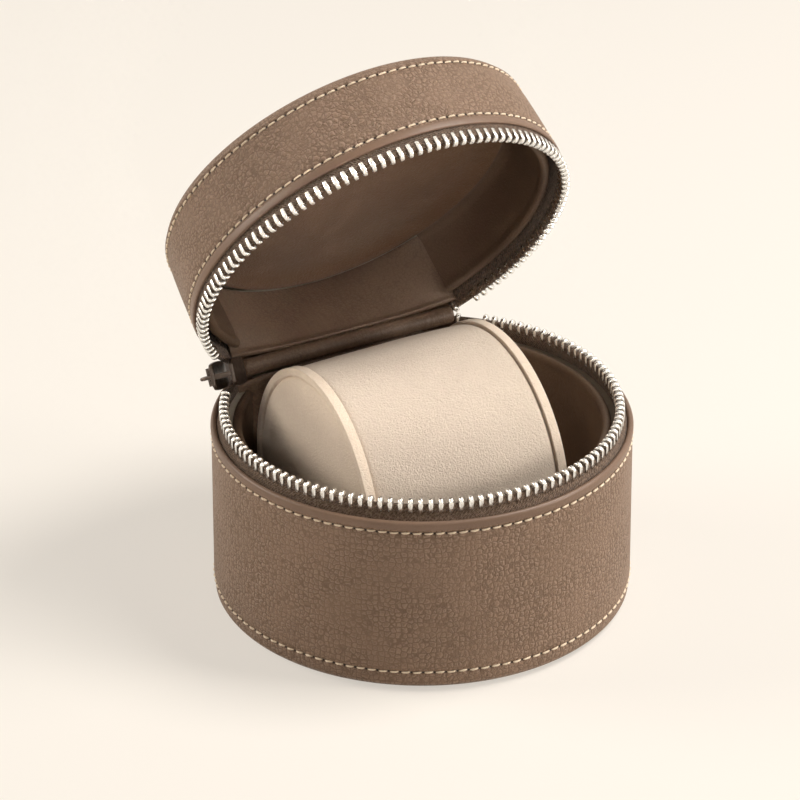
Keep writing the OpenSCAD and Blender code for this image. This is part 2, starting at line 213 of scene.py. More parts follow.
def swung(angle, axis="Z"):
    """Turns the selection about an axis of the case, anticlockwise by an angle in degrees as seen
    from the axis's positive end; the operator itself turns the other way."""
    bpy.ops.transform.rotate(value=-math.radians(angle), orient_axis=axis,
                             center_override=(0, 0, 0))


def outline(name, corners):
    """Draws corners (radius, height in mm) from one point by extruding it; all stays selected."""
    bpy.ops.mesh.primitive_plane_add(size=MM)
    drawn = named(name)
    bpy.ops.object.mode_set(mode="EDIT")
    bpy.ops.mesh.merge(type="CENTER")
    bpy.ops.transform.translate(value=(corners[0][0] * MM, 0, corners[0][1] * MM))
    for (r, z), (next_r, next_z) in zip(corners, corners[1:]):
        bpy.ops.mesh.extrude_region_move(
            TRANSFORM_OT_translate={"value": ((next_r - r) * MM, 0, (next_z - z) * MM)})
    bpy.ops.mesh.select_all(action="SELECT")
    bpy.ops.mesh.remove_doubles(threshold=0.002 * MM)
    return drawn


def turned(name, corners, half_gap=0, steps=192):
    """Spins an outline about the case's axis, all round but for half_gap degrees each side of
    the back, and closes it."""
    piece = outline(name, corners)
    swung(90 - half_gap)
    bpy.ops.mesh.spin(steps=steps, angle=math.radians(360 - 2 * half_gap), center=(0, 0, 0),
                      axis=(0, 0, 1))
    bpy.ops.mesh.select_all(action="SELECT")
    bpy.ops.mesh.remove_doubles(threshold=0.002 * MM)
    if half_gap:
        bpy.ops.mesh.fill_holes(sides=0)
    faced_out()
    return piece


def cup(part, corners):
    """An outline drawn for a cup that stands on its closed end, as it lies in the closed case."""
    return [(r, TOTAL_H - z) for r, z in corners] if part == "lid" else corners


def notched(piece, part, depth=HINGE_LEATHER):
    """Cuts away what the folded hinge needs behind the hinge line."""
    up = -1 if part == "lid" else 1
    slope = math.radians(FOLD_SLOPE)
    facing = Vector((0, math.sin(slope), up * math.cos(slope)))
    chosen(piece)
    edit_all()
    bpy.ops.mesh.bisect(plane_co=(Vector((0, HINGE_Y, HINGE_Z)) - facing * depth) * MM,
                        plane_no=facing, use_fill=True, clear_outer=True)
    bpy.ops.object.mode_set(mode="OBJECT")


def wrapped_uv(piece, part, unit):
    """A UV map that follows the wall: turns counted in units of so many degrees from the back,
    and millimetres above the cup's closed end."""
    mesh = piece.data
    uv = (mesh.uv_layers.active or mesh.uv_layers.new(name="wrap")).data
    for face in mesh.polygons:
        centre = math.atan2(face.center.x, face.center.y)
        for corner in face.loop_indices:
            x, y, z = mesh.vertices[mesh.loops[corner].vertex_index].co / MM
            off = math.remainder(math.atan2(x, y) - centre, 2 * math.pi) if x or y else 0
            uv[corner].uv = (math.degrees(centre + off) / unit, TOTAL_H - z if part == "lid" else z)


def opened(piece, angle):
    """Turns a finished piece about the hinge line, as the lid opens, and settles it there."""
    line = Matrix.Translation(Vector((0, HINGE_Y, HINGE_Z)) * MM)
    piece.matrix_world = line @ Matrix.Rotation(-math.radians(angle), 4, "X") @ line.inverted()
    chosen(piece)
    bpy.ops.object.transform_apply()


def settled(piece, part, surface, slot_name, *stands_for, smooth=35):
    """Gives a piece its finish, smooth shading and body, and says which solids it replaces."""
    piece.data.materials.clear()
    piece.data.materials.append(surface)
    chosen(piece)
    bpy.ops.object.shade_smooth_by_angle(angle=math.radians(smooth))
    opened(piece, OPEN_AT_REST[part])
    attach(piece, part)
    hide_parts(*stands_for)


def group(name, takes, gives):
    """An empty effect with named inputs and outputs; returns it with its two ends."""
    made = bpy.data.node_groups.new(name, "ShaderNodeTree")
    for title, kind, value in takes:
        socket = made.interface.new_socket(title, in_out="INPUT", socket_type=kind)
        if value is not None:
            socket.default_value = value
    for title, kind in gives:
        made.interface.new_socket(title, in_out="OUTPUT", socket_type=kind)
    return made, made.nodes.new("NodeGroupInput").outputs, made.nodes.new("NodeGroupOutput").inputs


def maths(tree, operation, first, second=0.0):
    """One sum in a shader, given by name."""
    return node(tree, "ShaderNodeMath", {0: first, 1: second}, operation=operation).outputs[0]


def times(tree, first, second):
    """A product in a shader."""
    return maths(tree, "MULTIPLY", first, second)


def mottle(tree, where, scale, **more):
    """A noise pattern from 0 to 1, finer as its scale grows; its other inputs go by name."""
    made = node(tree, "ShaderNodeTexNoise", {"Vector": where, "Scale": scale, **more})
    return made.outputs["Fac"]


def ramp(tree, value, low, high, to_low=0.0, to_high=1.0):
    """A smooth step of a value between two limits."""
    return node(tree, "ShaderNodeMapRange", {"Value": value, "From Min": low, "From Max": high,
                "To Min": to_low, "To Max": to_high}, interpolation_type="SMOOTHSTEP").outputs[0]


def mixed(tree, share, first, second):
    """Two colours mixed by a share."""
    made = node(tree, "ShaderNodeMix", data_type="RGBA", clamp_factor=True)
    for place, value in ((0, share), (6, first), (7, second)):
        if isinstance(value, bpy.types.NodeSocket):
            tree.links.new(value, made.inputs[place])
        else:
            made.inputs[place].default_value = value
    return made.outputs[2]


def used(tree, effect, **inputs):
    """Places an effect in a material with its own values."""
    made = node(tree, "ShaderNodeGroup", node_tree=effect)
    for title, value in inputs.items():
        socket = made.inputs[title.replace("_", " ")]
        if isinstance(value, bpy.types.NodeSocket):
            tree.links.new(value, socket)
        else:
            socket.default_value = value
    return made.outputs


def finish(name, **shader_values):
    """A new material: its node tree, its Principled shader, set with plain values, and the
    coordinates of a spot on the piece."""
    made = bpy.data.materials.new(name)
    made.use_nodes = True
    tree = made.node_tree
    shader = tree.nodes["Principled BSDF"]
    for title, value in shader_values.items():
        shader.inputs[title.replace("_", " ")].default_value = value
    return made, tree, shader, node(tree, "ShaderNodeTexCoord").outputs


def joined(tree, shader, colour, height, depth, rough=None):
    """Joins a colour, a relief of so many mm and, where it changes, a roughness to the shader."""
    relief = node(tree, "ShaderNodeBump", {"Height": height, "Distance": depth * MM, "Strength": 1})
    tree.links.new(colour, shader.inputs["Base Color"])
    tree.links.new(relief.outputs[0], shader.inputs["Normal"])
    if rough:
        tree.links.new(rough, shader.inputs["Roughness"])


# Pebbled grain: domed cells with narrow creases between them, finer cells inside, plainer
# patches and a slow change of tone, all in real millimetres. It also gives masks of the cell
# rims, for a painted highlight, and of the creases, for painted shade and roughness.
grain, take, give = group("pebbled grain", [
    ("Place", "NodeSocketVector", None), ("Cell", "NodeSocketFloat", 1.9),
    ("Dome", "NodeSocketFloat", 0.42), ("Loose", "NodeSocketFloat", 0.95),
    ("Push", "NodeSocketFloat", 2.6)], [
    ("Height", "NodeSocketFloat"), ("Creases", "NodeSocketFloat"), ("Tone", "NodeSocketFloat"),
    ("Ridges", "NodeSocketFloat")])
in_mm = node(grain, "ShaderNodeVectorMath", {0: take["Place"], "Scale": 1 / MM}, operation="SCALE")
wander = node(grain, "ShaderNodeTexNoise", {"Vector": in_mm.outputs[0], "Scale": 0.42,
              "Detail": 2.0, "Roughness": 0.55}, noise_dimensions="3D")
shift = node(grain, "ShaderNodeVectorMath", {0: wander.outputs["Color"], 1: (0.5, 0.5, 0.5)},
             operation="SUBTRACT")
push = node(grain, "ShaderNodeVectorMath", {0: shift.outputs[0], "Scale": take["Push"]},
            operation="SCALE")
pushed = node(grain, "ShaderNodeVectorMath", {0: push.outputs[0], 1: in_mm.outputs[0]},
              operation="ADD")
per_cell = maths(grain, "DIVIDE", 1.0, take["Cell"])
cells = node(grain, "ShaderNodeTexVoronoi", {"Vector": pushed.outputs[0], "Scale": per_cell,
             "Randomness": take["Loose"]}, feature="DISTANCE_TO_EDGE")
small = node(grain, "ShaderNodeTexVoronoi", {"Vector": pushed.outputs[0],
             "Scale": times(grain, per_cell, 2.3), "Randomness": 1.0},
             feature="DISTANCE_TO_EDGE")
pebble = ramp(grain, cells.outputs["Distance"], 0.0, take["Dome"])
furrow = ramp(grain, cells.outputs["Distance"], 0.0, 0.13, 1.0, 0.0)
nub = ramp(grain, small.outputs["Distance"], 0.0, 0.34)
pores = mottle(grain, in_mm.outputs[0], 4.2, Detail=2.0)
patch = mottle(grain, in_mm.outputs[0], 0.075, Detail=2.0, Roughness=0.6)
plain = ramp(grain, patch, 0.36, 0.60, 0.55, 1.0)
tall = maths(grain, "ADD", times(grain, pebble, plain), times(grain, nub, 0.34))
# The rims of the cells, where a painted highlight stands in for light caught by the relief.
ridge_highlight = times(grain, ramp(grain, cells.outputs["Distance"], 0.10, 0.17),
              ramp(grain, cells.outputs["Distance"], 0.19, 0.30, 1.0, 0.0))
grain.links.new(maths(grain, "ADD", tall, times(grain, pores, 0.20)), give["Height"])
grain.links.new(times(grain, furrow, plain), give["Creases"])
grain.links.new(mottle(grain, in_mm.outputs[0], 0.045, Detail=3.0), give["Tone"])
grain.links.new(times(grain, ridge_highlight, plain), give["Ridges"])

# Needle holes: where a row of stitches dives into the leather, every stitch length along the
# wall. The thread pulls the leather in round each hole. Both masks carry painted shade, and a dip
# in the relief.
holes, take, give = group("needle holes", [
    ("Wrap", "NodeSocketVector", None), ("Row", "NodeSocketFloat", 4.5),
    ("Length", "NodeSocketFloat", 2.89)], [
    ("Hole", "NodeSocketFloat"), ("Pulled", "NodeSocketFloat")])
place = node(holes, "ShaderNodeSeparateXYZ", {0: take["Wrap"]})
along = maths(holes, "SUBTRACT", maths(holes, "FRACT", maths(holes, "ADD", place.outputs[0], 0.5)),
              0.5)
along = times(holes, along, take["Length"])
above = maths(holes, "SUBTRACT", place.outputs[1], take["Row"])
along, above = times(holes, along, along), times(holes, above, above)
reach = maths(holes, "SQRT", maths(holes, "ADD", along, above))
holes.links.new(ramp(holes, reach, 0.16, 0.40, 1.0, 0.0), give["Hole"])
squeezed = maths(holes, "SQRT", maths(holes, "ADD", times(holes, along, 2.4), above))
holes.links.new(ramp(holes, squeezed, 0.0, 1.7, 1.0, 0.0), give["Pulled"])

# The taupe leather's colour: two tones, painted highlights on ridges and painted shade in creases.
taupe, take, give = group("taupe tones with painted light and shade", [
    ("Tone", "NodeSocketFloat", 0.5), ("Ridges", "NodeSocketFloat", 0.0),
    ("Creases", "NodeSocketFloat", 0.0)], [("Colour", "NodeSocketColor")])
tones = mixed(taupe, ramp(taupe, take["Tone"], 0.3, 0.7), srgb(131, 105, 84), srgb(138, 111, 90))
tones = mixed(taupe, times(taupe, take["Ridges"], 0.34), tones, srgb(172, 146, 124))
tones = mixed(taupe, times(taupe, take["Creases"], 0.45), tones, srgb(88, 69, 54))
taupe.links.new(tones, give["Colour"])
RELIEF = 0.34


def toned_with_painted_light(tree, skin):
    """The taupe leather's colour for a grain, with painted ridge highlights and crease shade."""
    return used(tree, taupe, Tone=skin["Tone"], Ridges=skin["Ridges"],
                Creases=skin["Creases"])["Colour"]


def wall_leather(part, low_row, rim_row):
    """The case's own taupe leather, with the needle holes of its two rows of stitches; the holes
    and the leather pulled in round them are painted darker as shade.
    """
    made, tree, shader, spot = finish("taupe leather " + part, Roughness=0.52,
                                      Specular_IOR_Level=0.42)
    length = 2 * math.pi * CUPS[part]["wall"] / CUPS[part]["stitches"]
    wrap = node(tree, "ShaderNodeVectorMath", {0: spot["UV"], 1: (length * MM, MM, 0)},
                operation="MULTIPLY")
    skin = used(tree, grain, Place=wrap.outputs[0], Cell=length / 2,
                Loose=0.55 if part == "base" else 0.8, Push=1.3)
    low = used(tree, holes, Wrap=spot["UV"], Row=low_row)
    high = used(tree, holes, Wrap=spot["UV"], Row=rim_row)
    hole = maths(tree, "MAXIMUM", low["Hole"], high["Hole"])
    pulled = maths(tree, "MAXIMUM", low["Pulled"], high["Pulled"])
    # Painted shade: the leather pulled in round each hole is darkened, and the hole itself is
    # painted near black.
    colour = mixed(tree, times(tree, pulled, 0.28), toned_with_painted_light(tree, skin), srgb(96, 76, 60))
    colour = mixed(tree, hole, colour, srgb(40, 28, 20))
    height = maths(tree, "SUBTRACT", times(tree, skin["Height"], RELIEF), times(tree, pulled, 0.20))
    height = maths(tree, "SUBTRACT", height, times(tree, hole, 0.25))
    joined(tree, shader, colour, height, 1.0, ramp(tree, skin["Creases"], 0.0, 1.0, 0.46, 0.66))
    return made


def thread_groove(r, z):
    """The shallow trough in which a row of stitches lies."""
    return [(r, z - 0.85), (r - 0.06, z - 0.5), (r - 0.2, z - 0.2), (r - 0.22, z),
            (r - 0.2, z + 0.2), (r - 0.06, z + 0.5), (r, z + 0.85)]


# The pocket in the wall's edge that takes the zip's tape: its two radii and its depth.
POCKET_IN, POCKET_OUT, POCKET_DEEP = 50.35, 51.15, 6.4
for part, size in CUPS.items():
    r, rim, edge, seam = size["wall"], size["rim"], size["edge"], size["seam"]
    low = size["low_seam"]
    inner = wall_at(part, edge) - edge
    corners = [(inner, 2.15), (inner, 0.35), (inner + 0.12, 0.08)]
    corners += arc(inner, edge, edge, -84, -16, 9)[:9 if part == "base" else 7]
    corners += thread_groove(wall_at(part, low), low)[1 if part == "base" else 0:]
    corners += [(wall_at(part, z), z) for z in range(8, int(seam) - 1, 3)]
    corners += thread_groove(r - 0.04, seam)[:-1] + [(r - 0.14, seam + 0.85)]
    within = wall_at(part, 8) - size["wall"] + POCKET_IN
    corners += [(r - 0.2, rim - 1.6), (POCKET_OUT, rim - 1.6),
                (POCKET_OUT, rim - POCKET_DEEP), (POCKET_IN, rim - POCKET_DEEP), (within, 8),
                (within - (0.7 if part == "lid" else 0), 2.2), (inner, 2.15)]
    wall = turned(part + "_wall_leather", cup(part, corners))
    notched(wall, part)
    wrapped_uv(wall, part, 360 / size["stitches"])
    settled(wall, part, wall_leather(part, low, seam), "pebbled_leather",
            part + "_outer_leather")

# ---------------------------------------------------------------------------
# The two end discs, under the base and on top of the lid. A round of the same
# cowhide, skived thin at its edge and pressed flush inside the turned-in wall.
for part, size in CUPS.items():
    made, tree, shader, spot = finish("taupe disc leather " + part, Roughness=0.5,
                                      Specular_IOR_Level=0.42)
    skin = used(tree, grain, Place=spot["Object"], Cell=1.9)
    joined(tree, shader, toned_with_painted_light(tree, skin), times(tree, skin["Height"], RELIEF), 1.0,
           ramp(tree, skin["Creases"], 0.0, 1.0, 0.46, 0.66))
    inner = wall_at(part, size["edge"]) - size["edge"] - 0.06
    # The outer face is the low one in the cup.
    crown = 0.35 if part == "lid" else 0
    corners = [(0, 2.15), (inner, 2.15)] + arc(inner - 0.35, 0.35, 0.35, 0, -80, 4)
    corners += [(r, -crown * (1 - (r / inner) ** 2)) for r in
                (inner * k / 9 for k in (8, 7, 6, 5, 4, 3, 2, 1, 0))]
    end = turned(part + "_end_disc", cup(part, corners), steps=160)
    settled(end, part, made, "pebbled_leather",
            "base_bottom_leather" if part == "base" else "lid_top_leather")


# ---------------------------------------------------------------------------
# The rim bindings. The edge of each wall is turned over a cord and sewn down,
# which leaves a smooth rounded strip between the rim and the first stitches.
def leather(name, cell, tones, share, crease, relief, folds=0, **shader_values):
    """Leather in two tones: cells of cell mm, a share of a darker colour painted as shade in its
    creases, its relief in mm, and for soft leather the depth of its folds."""
    made, tree, shader, spot = finish(name, **shader_values)
    skin = used(tree, grain, Place=spot["Object"], Cell=cell)
    colour = mixed(tree, ramp(tree, skin["Tone"], 0.3, 0.7), *tones)
    # Painted shade: the creases take a share of the darker crease colour.
    colour = mixed(tree, times(tree, skin["Creases"], share), colour, crease)
    height = times(tree, skin["Height"], relief)
    if folds:
        wave = node(tree, "ShaderNodeTexWave", {"Vector": spot["Object"], "Scale": 130.0,
                    "Distortion": 9.0, "Detail": 3.0, "Detail Scale": 1.4}, bands_direction="X")
        height = maths(tree, "ADD", height, times(tree, wave.outputs["Fac"], folds))
    joined(tree, shader, colour, height, 1.0)
    return made


# The darker colour is painted shade in the creases.
binding = leather("smooth turned edge", 1.3, (srgb(115, 90, 72), srgb(125, 99, 80)), 0.12,
                  srgb(96, 76, 60), 0.03, Roughness=0.42, Specular_IOR_Level=0.45)

for part, size in CUPS.items():
    r, rim, seam = size["wall"], size["rim"], size["seam"]
    cord = 0.78 if part == "base" else 0.45
    corners = [(r - 0.22, rim - 1.65), (r - 0.22, seam + 0.84), (r - 0.06, seam + 0.82),
               (r + 0.08, seam + 1.1), (r + 0.16, seam + 1.4), (r + 0.2, rim - 0.3 - cord)]
    corners += arc(r + 0.2 - cord, rim - 0.05 - cord, cord, 5, 175, 11)
    corners += [(r + 0.16 - 2 * cord, rim - 1.65), (r - 0.22, rim - 1.65)]
    edge = turned(part + "_rim_binding", cup(part, corners))
    notched(edge, part)
    settled(edge, part, binding, "pebbled_leather", part + "_rim_bead")


# ---------------------------------------------------------------------------
# The four rows of stitches. Waxed cream thread in a straight lockstitch, 2.9 mm
# long; each stitch is a plump twisted loop whose two ends dive into the leather.
def ring_of(piece, count, step):
    """Copies a piece round the case's axis, clockwise from above, and joins the copies."""
    bpy.ops.object.empty_add(rotation=(0, 0, -math.radians(step)))
    post = bpy.context.object
    chosen(piece)
    copies = piece.modifiers.new("round the case", "ARRAY")
    copies.use_relative_offset = False
    copies.use_object_offset = True
    copies.offset_object = post
    copies.count = count
    bpy.context.view_layer.update()
    bpy.ops.object.modifier_apply(modifier=copies.name)
    bpy.data.objects.remove(post)


thread, tree, shader, spot = finish("waxed cream thread", Roughness=0.5, Sheen_Weight=0.15)
ply = node(tree, "ShaderNodeTexWave", {"Vector": spot["UV"], "Scale": 1.6,
           "Distortion": 0.6}, wave_type="BANDS", bands_direction="DIAGONAL")
fuzz = mottle(tree, spot["Object"], 5200.0)
along = node(tree, "ShaderNodeSeparateXYZ", {0: spot["UV"]})
ends = maths(tree, "ABSOLUTE", maths(tree, "SUBTRACT", along.outputs[1], 0.5))
colour = mixed(tree, times(tree, ply.outputs["Fac"], 0.45), srgb(246, 228, 202),
               srgb(222, 194, 160))
# Painted shade: each stitch darkens towards its two ends, where it dives into the leather.
colour = mixed(tree, ramp(tree, ends, 0.28, 0.46), colour, srgb(150, 118, 88))
joined(tree, shader, colour, maths(tree, "ADD", ply.outputs["Fac"], fuzz), 0.06)

STITCH_HALF, STITCH_LEAN = 1.22, 4.5
STITCH_DEEP, STITCH_TALL, STITCH_DIP = 0.28, 0.24, 0.34
for part, row, first, count, solid in (
    ("base", "rim", 8, 101, "base_rim_seam"),
    ("base", "bottom", 0, 117, "base_bottom_seam"),
    ("lid", "rim", 7, 98, "lid_rim_seam"),
    ("lid", "top", 0, 112, "lid_top_seam"),
):
    size = CUPS[part]
    height = size["seam" if row == "rim" else "low_seam"]
    step = 360 / size["stitches"]
    bpy.ops.mesh.primitive_uv_sphere_add(segments=8, ring_count=8, radius=1)
    stitch = named(f"{part}_{row}_stitches")
    bpy.ops.object.mode_set(mode="EDIT")
    swung(-90, "X")
    bpy.ops.transform.resize(value=(STITCH_DEEP * MM, STITCH_HALF * MM, STITCH_TALL * MM),
                             center_override=(0, 0, 0))
    bpy.ops.object.mode_set(mode="OBJECT")
    for v in stitch.data.vertices:
        reach = abs(v.co.y) / (STITCH_HALF * MM)
        v.co.x -= STITCH_DIP * MM * reach ** 3
        if reach < 0.9:
            v.co.x *= 1 + 0.25 * reach
            v.co.z *= 1 + 0.35 * reach
    z = cup(part, [(0, height)])[0][1]
    bpy.ops.object.mode_set(mode="EDIT")
    swung(STITCH_LEAN, "X")
    bpy.ops.transform.translate(value=((wall_at(part, height) - 0.02) * MM, 0, z * MM))
    swung(90 - (first + 0.5) * step)
    bpy.ops.object.mode_set(mode="OBJECT")
    each = len(stitch.data.vertices)
    ring_of(stitch, count, step)
    for i in range(count):
        lift = (0.05 * math.sin(i * 12.9898) + 0.04 * math.sin(i * 4.1414)) * MM
        for v in stitch.data.vertices[i * each:(i + 1) * each]:
            v.co.z += lift
    settled(stitch, part, thread, "thread", solid, smooth=60)


# ---------------------------------------------------------------------------
# The zip tapes. A narrow brown twill tape sewn between the wall and its lining,
# with a round cord woven into its free edge, on which the teeth are clamped.
# How far from the back each end of the zip is, in degrees, and the radii of its tape.
ZIP_HALF = 39.0
TAPE_R, TAPE_IN, TAPE_OUT, SEWN_IN = 50.7, 50.32, 51.08, 6.3

twill, tree, shader, spot = finish("brown twill tape", Roughness=0.9, Sheen_Weight=0.2,
                                   Sheen_Roughness=0.5, Specular_IOR_Level=0.2)
YARN = 0.8
place = node(tree, "ShaderNodeSeparateXYZ", {0: spot["UV"]})
warp = maths(tree, "DIVIDE", place.outputs[0], YARN)
weft = maths(tree, "DIVIDE", place.outputs[1], YARN)
bent = times(tree, mottle(tree, spot["Object"], 900.0, Detail=2.0), 1.4)
over = maths(tree, "ADD", maths(tree, "ADD", warp, weft), bent)
over = maths(tree, "SINE", times(tree, over, 2 * math.pi))
under = maths(tree, "SINE", times(tree, maths(tree, "SUBTRACT", warp, weft), 3.1 * math.pi))
cloth = maths(tree, "ADD", times(tree, over, 0.32), times(tree, under, 0.18))
cloth = maths(tree, "ADD", cloth, 0.5)
lint = mottle(tree, spot["Object"], 1900.0, Detail=3.0, Roughness=0.7)
colour = mixed(tree, cloth, srgb(60, 46, 35), srgb(116, 94, 76))
colour = mixed(tree, ramp(tree, lint, 0.42, 0.62), colour, srgb(138, 115, 96))
joined(tree, shader, colour, maths(tree, "ADD", cloth, times(tree, lint, 0.8)), 0.25)

for part, size in CUPS.items():
    rim = size["rim"]
    corners = [(TAPE_OUT, rim - SEWN_IN), (TAPE_OUT, rim - 1.55)]
    if part == "base":
        corners += [(52.5, rim - 1.5), (52.52, rim - 0.75), (52.35, rim - 0.3), (52.1, rim + 0.3),
                    (51.75, rim + 0.95)]
    corners += [(51.3, rim + 1.6)]
    corners += [(TAPE_R + (r - TAPE_R) * 0.8, z) for r, z in
                arc(TAPE_R, rim + 2.35, 1.05, -40, 220, 12)]
    corners += [(TAPE_IN, rim + 1.0), (TAPE_IN, rim - SEWN_IN), (TAPE_OUT, rim - SEWN_IN)]
    tape = turned(part + "_zip_tape_cloth", cup(part, corners), ZIP_HALF)
    wrapped_uv(tape, part, 360 / (2 * math.pi * TAPE_R))
    settled(tape, part, twill, "zip_tape", part + "_zip_tape")


# ---------------------------------------------------------------------------
# The zip teeth. Nickel-plated staples: two straight legs pinch the tape's cord and
# meet over it in a plump round head, which locks between its neighbours.
TOOTH_STEP, FIRST_TOOTH, TOOTH_COUNT = 2.825204, 54.06299, 92
TOOTH_TALL, FOOT_ABOVE_RIM, STOP_TURN = 3.45, 1.5, 40.3

nickel, tree, shader, spot = finish("polished nickel teeth", Metallic=1.0, Roughness=0.2)
cast = mottle(tree, spot["Object"], 1400.0, Detail=3.0)
side = node(tree, "ShaderNodeSeparateXYZ", {0: spot["UV"]})
# Painted shade: two fine grooves down each tooth's outer face, darkened in colour as well as sunk.
left = maths(tree, "ABSOLUTE", maths(tree, "SUBTRACT", side.outputs[0], 0.36))
right = maths(tree, "ABSOLUTE", maths(tree, "SUBTRACT", side.outputs[0], 0.64))
line = ramp(tree, maths(tree, "MINIMUM", left, right), 0.015, 0.06, 1.0, 0.0)
line = times(tree, line, ramp(tree, side.outputs[1], 0.60, 0.68, 1.0, 0.0))
colour = mixed(tree, cast, srgb(232, 229, 223), srgb(246, 244, 240))
colour = mixed(tree, times(tree, line, 0.45), colour, srgb(150, 138, 124))
height = maths(tree, "SUBTRACT", times(tree, cast, 0.03), times(tree, line, 0.05))
joined(tree, shader, colour, height, 1.0, ramp(tree, cast, 0.3, 0.7, 0.16, 0.30))


def rounded(piece, width, segments=3, limit=30):
    """Rounds a piece's edges by width mm where they turn by more than limit degrees."""
    chosen(piece)
    soft = piece.modifiers.new("rounded", "BEVEL")
    soft.width, soft.segments, soft.limit_method = width * MM, segments, "ANGLE"
    soft.angle_limit = math.radians(limit)
    bpy.ops.object.modifier_apply(modifier=soft.name)


SPECK = 0.02


def clamped(name, side_view, width_at, thick):
    """A small cast part: its side view (radius from the cord, height in mm) filled, drawn out to
    its width, drawn in or out at each height, and its edges rounded. What is smaller than a
    speck is merged."""
    part_made = outline(name, side_view + side_view[:1])
    bpy.ops.mesh.edge_face_add()
    bpy.ops.transform.translate(value=(0, -thick / 2 * MM, 0))
    bpy.ops.mesh.extrude_region_move(TRANSFORM_OT_translate={"value": (0, thick * MM, 0)})
    faced_out()
    for v in part_made.data.vertices:
        v.co.y *= width_at(v.co.z / MM)
    rounded(part_made, 0.2, 1, 28)
    edit_all()
    bpy.ops.mesh.remove_doubles(threshold=SPECK * MM)
    bpy.ops.mesh.dissolve_degenerate(threshold=SPECK * MM)
    bpy.ops.object.mode_set(mode="OBJECT")
    uv = (part_made.data.uv_layers.active or part_made.data.uv_layers.new(name="side")).data
    for face in part_made.data.polygons:
        for corner in face.loop_indices:
            v = part_made.data.vertices[part_made.data.loops[corner].vertex_index].co / MM
            shown = face.normal.x > 0.7
            uv[corner].uv = (v.y / thick + 0.5 if shown else 0.02, v.z / TOOTH_TALL)
    return part_made


def tooth_width(z):
    """Leg, neck and head widths as shares of the leg's."""
    return 1.0 if z < 2.2 else 0.96 if z < 2.5 else 1.04


def on_tape(piece, part, angle, count, step):
    """Stands a clamped part on the tape's cord, at so many degrees from the back, and repeats
    it round the ring; the lid's hang upside down."""
    if part == "lid":
        edit_all()
        bpy.ops.transform.resize(value=(1, 1, -1), center_override=(0, 0, 0))
        faced_out()
    edit_all()
    foot = cup(part, [(0, CUPS[part]["rim"] + FOOT_ABOVE_RIM)])[0][1]
    bpy.ops.transform.translate(value=(TAPE_R * MM, 0, foot * MM))
    swung(90 + angle)
    bpy.ops.object.mode_set(mode="OBJECT")
    ring_of(piece, count, step)


LEG_OUT, LEG_IN, LEG_TOP = 1.22, 0.84, 2.0
LEGS = [(-LEG_OUT, 0.0), (-LEG_IN, 0.0), (-LEG_IN, LEG_TOP), (LEG_IN, LEG_TOP), (LEG_IN, 0.0)]
for part, phase in (("base", 0), ("lid", 0.5)):
    tooth = clamped(part + "_teeth", [
        (LEG_OUT, 0.0), (1.24, 2.35), (1.18, 2.75), (0.92, 3.12), (0.5, 3.36), (0.0, 3.44),
        (-0.5, 3.36), (-0.92, 3.12), (-1.18, 2.75), (-1.24, 2.35)] + LEGS, tooth_width, 1.02)
    last = FIRST_TOOTH + (TOOTH_COUNT - 1 + phase) * TOOTH_STEP
    on_tape(tooth, part, last, TOOTH_COUNT, TOOTH_STEP)
    settled(tooth, part, nickel, "zip_metal", part + "_zip_teeth", smooth=50)

    stop = clamped(part + "_stops", [
        (LEG_OUT, 0.0), (1.24, 2.1), (0.9, 2.6), (-0.9, 2.6), (-1.24, 2.1)] + LEGS,
        lambda z: 1.0, 1.2)
    on_tape(stop, part, STOP_TURN, 2, 2 * STOP_TURN)
    settled(stop, part, nickel, "zip_metal", part + "_zip_stops", smooth=50)


# ---------------------------------------------------------------------------
# The linings. Thin brown calf over a strip of foam, rolled over the foam's top
# edge and pinched in below the roll; it stops at both sides of the hinge.
# The darker colour is painted shade in the creases.
calf = leather("brown lining calf", 0.8, (srgb(84, 65, 50), srgb(100, 79, 61)), 0.3,
               srgb(54, 40, 29), 0.05, Roughness=0.55, Specular_IOR_Level=0.35)

LINING_HALF, LINING_R, LINING_BACK = 41.5, 46.24, 48.46
for part, size in CUPS.items():
    rim = size["rim"]
    corners = [(43.0, 6.3), (43.5, 6.5)] + arc(43.6, 9.2, 2.64, -80, -6, 7)
    corners += [(LINING_R, 12), (LINING_R, rim - 7), (46.3, rim - 4.6),
               (46.48, rim - 3.35), (46.42, rim - 2.9)]
    corners += arc(47.35, rim - 1.45, 1.22, 200, 10, 14)
    corners += [(LINING_BACK, rim - 2.4), (LINING_BACK, 12), (47.0, 5.4), (43.0, 5.4), (43.0, 6.3)]
    lining = turned(part + "_padded_lining", cup(part, corners), LINING_HALF)
    wrapped_uv(lining, part, 360 / (2 * math.pi * 46.3))
    settled(lining, part, calf, "lining_leather", part + "_lining", part + "_lining_roll",
            part + "_wall_foam")


# ---------------------------------------------------------------------------
# The suede rounds inside the lid and on the floor of the base. Goat suede over
# a disc of card, its edge rolled down into the corner of the lining.
nap, take, give = group("suede nap", [("Place", "NodeSocketVector", None)], [
    ("Height", "NodeSocketFloat"), ("Fibre", "NodeSocketFloat"), ("Brushed", "NodeSocketFloat")])
in_mm = node(nap, "ShaderNodeVectorMath", {0: take["Place"], "Scale": 1 / MM}, operation="SCALE")
fine = mottle(nap, in_mm.outputs[0], 1.9, Detail=2.0, Roughness=0.6, Distortion=0.9)
tuft = mottle(nap, in_mm.outputs[0], 1.1, Detail=1.0, Distortion=1.4)
brush = mottle(nap, in_mm.outputs[0], 0.06, Detail=3.0, Distortion=0.8)
nap.links.new(maths(nap, "ADD", times(nap, fine, 0.6), times(nap, tuft, 0.4)), give["Height"])
nap.links.new(ramp(nap, fine, 0.32, 0.68), give["Fibre"])
nap.links.new(ramp(nap, brush, 0.35, 0.65), give["Brushed"])


